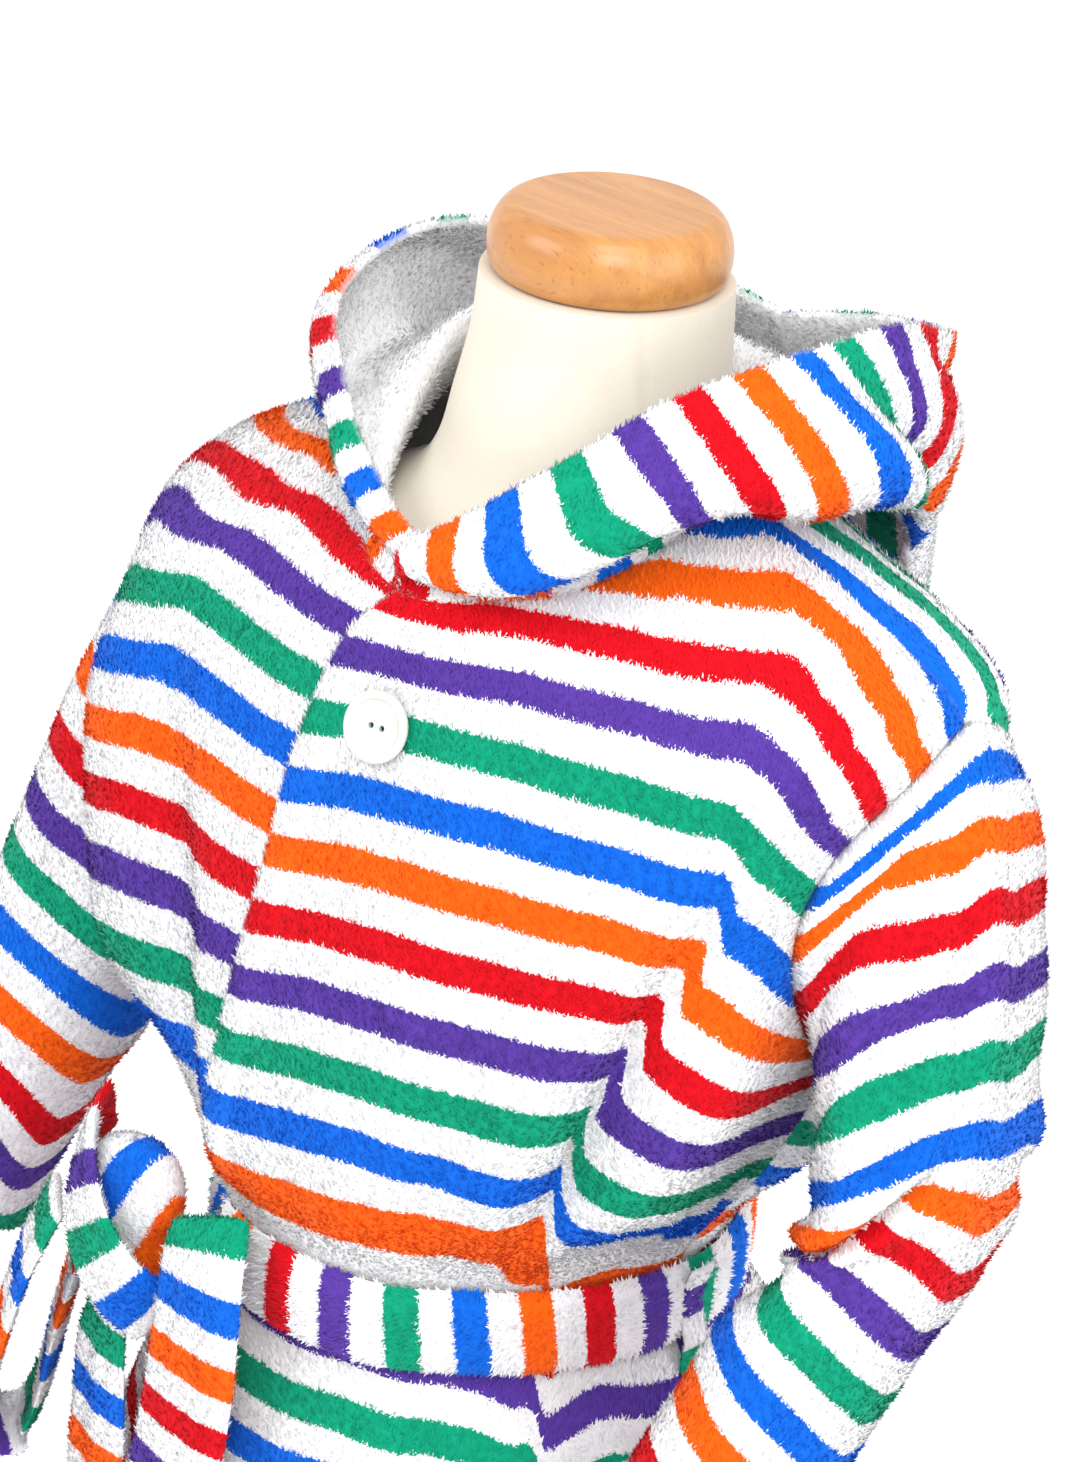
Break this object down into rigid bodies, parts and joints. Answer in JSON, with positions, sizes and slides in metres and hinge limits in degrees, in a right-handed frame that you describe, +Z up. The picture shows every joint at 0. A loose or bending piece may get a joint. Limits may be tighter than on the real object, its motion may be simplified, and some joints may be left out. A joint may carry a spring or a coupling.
{
  "type": "hooded bathrobe on a dress form",
  "caption": "Child's hooded terry bathrobe, belted and buttoned over a limbless dress form on a round stand.",
  "frame": {"origin": "on the floor, under the middle of the whole piece's bounding box; the neck's axis stands at x 0.0425, y 0.0082", "axes": "+Z up; the robe's front looks along -Y; the wearer's left is +X"},
  "size_m": [0.581, 0.3787, 1.1635],
  "materials": {
    "terry": "looped terry, white with multi-colour stripes",
    "belt": "the same striped terry, two layers",
    "button": "satin off-white",
    "form_cover": "fine plain weave, cream",
    "cap_wood": "lacquered, warm honey",
    "stand": "satin dark grey"
  },
  "bodies": {
    "root": {"robe_front_left": "terry", "robe_front_right": "terry", "robe_back": "terry", "sleeve_left": "terry", "sleeve_right": "terry", "hood_left": "terry", "hood_right": "terry", "belt_waist": "belt", "belt_knot": "belt", "belt_tail_front": "belt", "belt_tail_back": "belt", "belt_bow": "belt", "belt_loop_left": "terry", "belt_loop_right": "terry", "button": "button", "form_torso": "form_cover", "neck_cap": "cap_wood", "stand_pole": "stand", "stand_base": "stand"}
  },
  "joints": []
}
